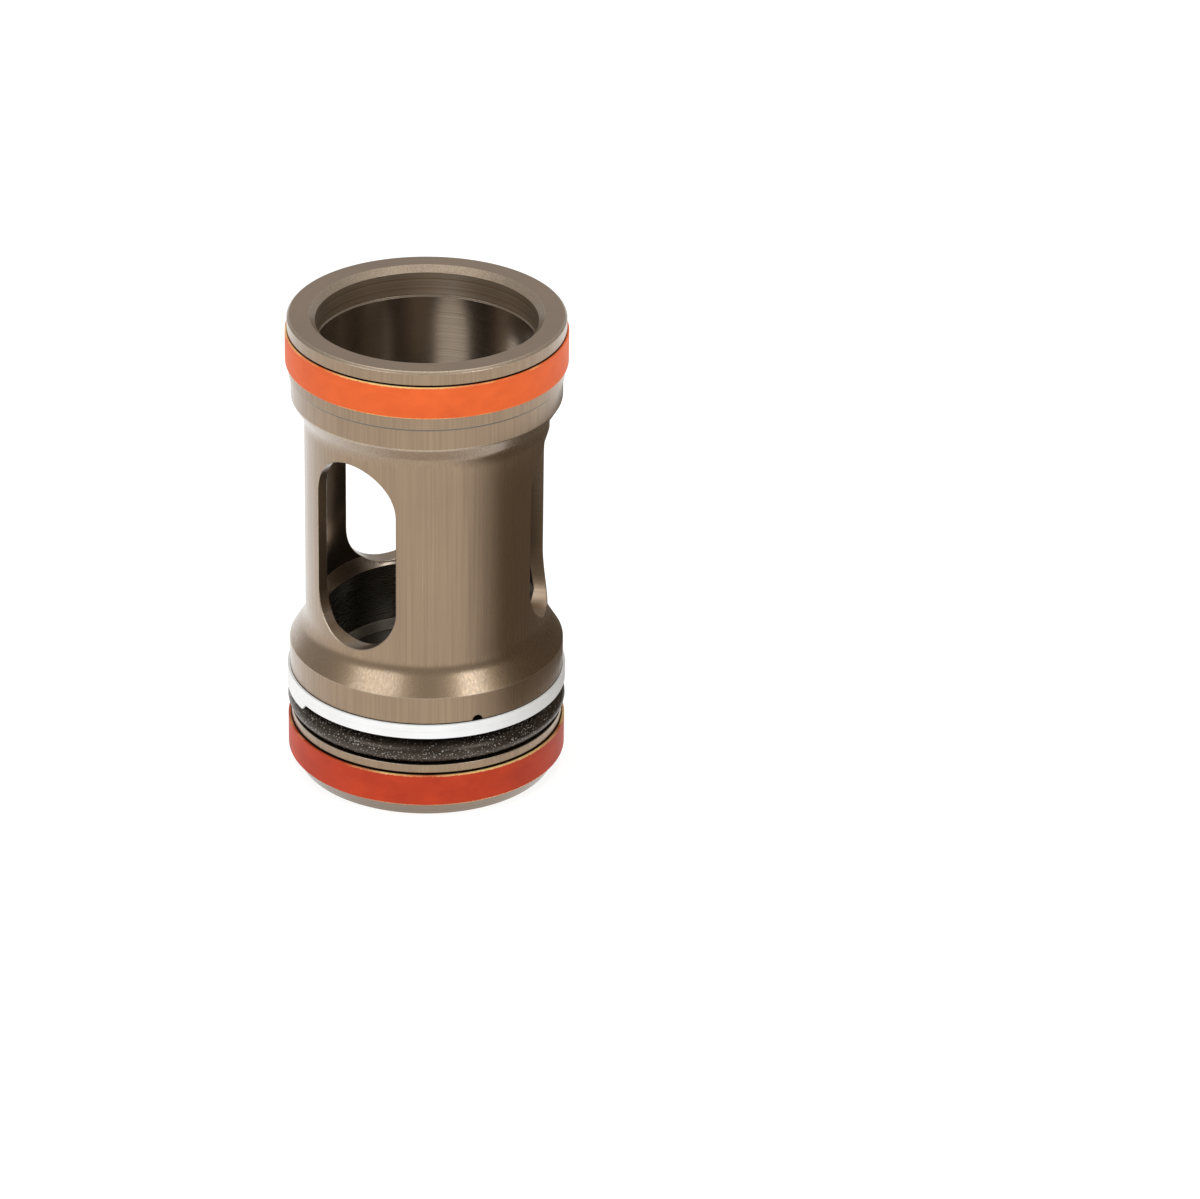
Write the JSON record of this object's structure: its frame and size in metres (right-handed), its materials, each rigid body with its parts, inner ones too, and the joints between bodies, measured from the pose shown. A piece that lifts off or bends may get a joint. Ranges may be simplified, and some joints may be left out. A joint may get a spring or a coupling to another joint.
{
  "type": "cartridge valve sleeve",
  "caption": "Hollow windowed cartridge valve sleeve with split guide rings, an O-ring and a spiral backup ring in its outer grooves, and a small port through its seal end.",
  "frame": {"origin": "centre of the seal end's face, on the sleeve's axis", "axes": "+Z along the sleeve's axis from the seal end up to the plain rim; one of the three windows faces -Y"},
  "size_m": [0.0508, 0.0508, 0.089],
  "materials": {
    "hard_anodised": "satin brown-grey hard anodising over turned aluminium",
    "orange_fabric_resin": "orange fabric-reinforced resin, cut fibres pale at the edges",
    "red_fabric_resin": "red-orange fabric-reinforced resin, cut fibres pale at the edges",
    "black_rubber": "black nitrile rubber, lightly oiled and dusty",
    "white_fluoropolymer": "white waxy fluoropolymer"
  },
  "bodies": {
    "sleeve": {"valve_sleeve": "hard_anodised", "o_ring": "black_rubber"},
    "upper_guide": {"upper_wear_ring": "orange_fabric_resin"},
    "lower_guide": {"lower_wear_ring": "red_fabric_resin"},
    "backup": {"backup_ring": "white_fluoropolymer"}
  },
  "joints": [
    {"name": "upper_wear_ring_turn", "type": "hinge", "parent": "sleeve", "child": "upper_guide", "pos_m": [0, 0, 0.0833], "axis": [0, 0, 1], "continuous": true},
    {"name": "lower_wear_ring_turn", "type": "hinge", "parent": "sleeve", "child": "lower_guide", "pos_m": [0, 0, 0.00595], "axis": [0, 0, 1], "continuous": true},
    {"name": "backup_ring_turn", "type": "hinge", "parent": "sleeve", "child": "backup", "pos_m": [0, 0, 0.0172], "axis": [0, 0, 1], "continuous": true}
  ]
}
